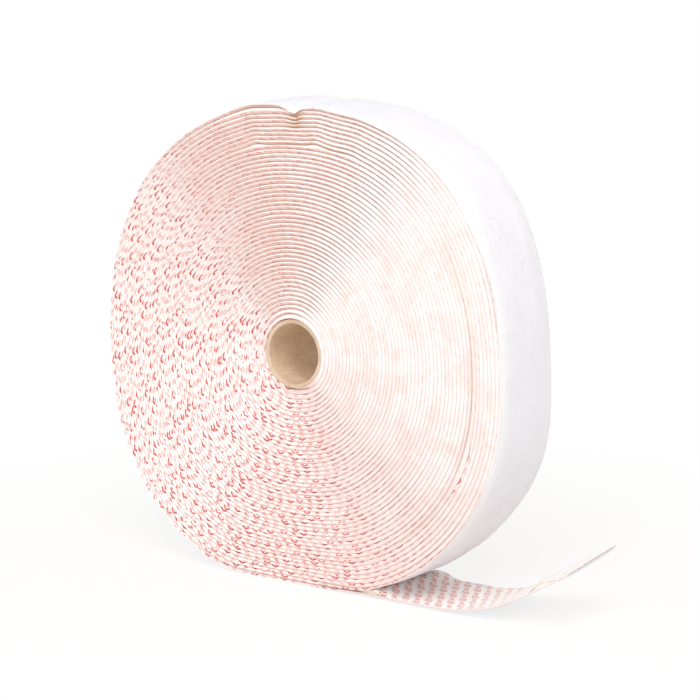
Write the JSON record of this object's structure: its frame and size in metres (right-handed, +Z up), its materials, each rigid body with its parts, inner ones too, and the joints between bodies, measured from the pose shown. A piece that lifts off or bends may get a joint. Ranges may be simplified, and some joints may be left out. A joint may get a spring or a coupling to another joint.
{
  "type": "hook and loop tape roll",
  "caption": "Roll of white self-adhesive loop tape with a printed release liner, wound on a paper core and standing on its edge with the free end curling up off the floor.",
  "frame": {"origin": "on the floor, below the core's axis and at the middle of the tape's width", "axes": "+Y along the core's axis, away from the viewed face; +X the way the free end runs off along the floor; +Z up"},
  "size_m": [0.3159, 0.055, 0.2684],
  "materials": {
    "core_board": "matte",
    "start_tape": "satin",
    "inner_tape": "matte",
    "loop_fabric": "matte",
    "adhesive": "satin",
    "release_liner": "matte"
  },
  "bodies": {
    "roll": {"core_inner_ply": "core_board", "core_middle_ply": "core_board", "core_outer_ply": "core_board", "start_strip": "start_tape", "inner_turns": "inner_tape", "loop_tape_turns": "loop_fabric", "liner_turns": "release_liner", "lead_loop_tape": "loop_fabric", "lead_adhesive": "adhesive", "lead_liner": "release_liner"},
    "tail": {"tail_loop_tape": "loop_fabric", "tail_adhesive": "adhesive", "tail_liner": "release_liner"},
    "tail_end": {"end_loop_tape": "loop_fabric", "end_adhesive": "adhesive", "end_liner": "release_liner"},
    "liner_tip": {"liner_flap": "release_liner"}
  },
  "joints": [
    {"name": "tail_bend", "type": "hinge", "parent": "roll", "child": "tail", "pos_m": [0.084, 0, 0.00113], "axis": [0, -1, 0], "range_deg": [0, 16]},
    {"name": "tail_curl", "type": "hinge", "parent": "tail", "child": "tail_end", "pos_m": [0.11945, 0, 0.00395], "axis": [0, -1, 0], "range_deg": [-25, 5], "stiffness_Nm_per_rad": 0.01, "springref_deg": 5.39},
    {"name": "liner_peel", "type": "hinge", "parent": "tail_end", "child": "liner_tip", "pos_m": [0.15709, 0, 0.02365], "axis": [0, -1, 0], "range_deg": [0, 120]}
  ]
}
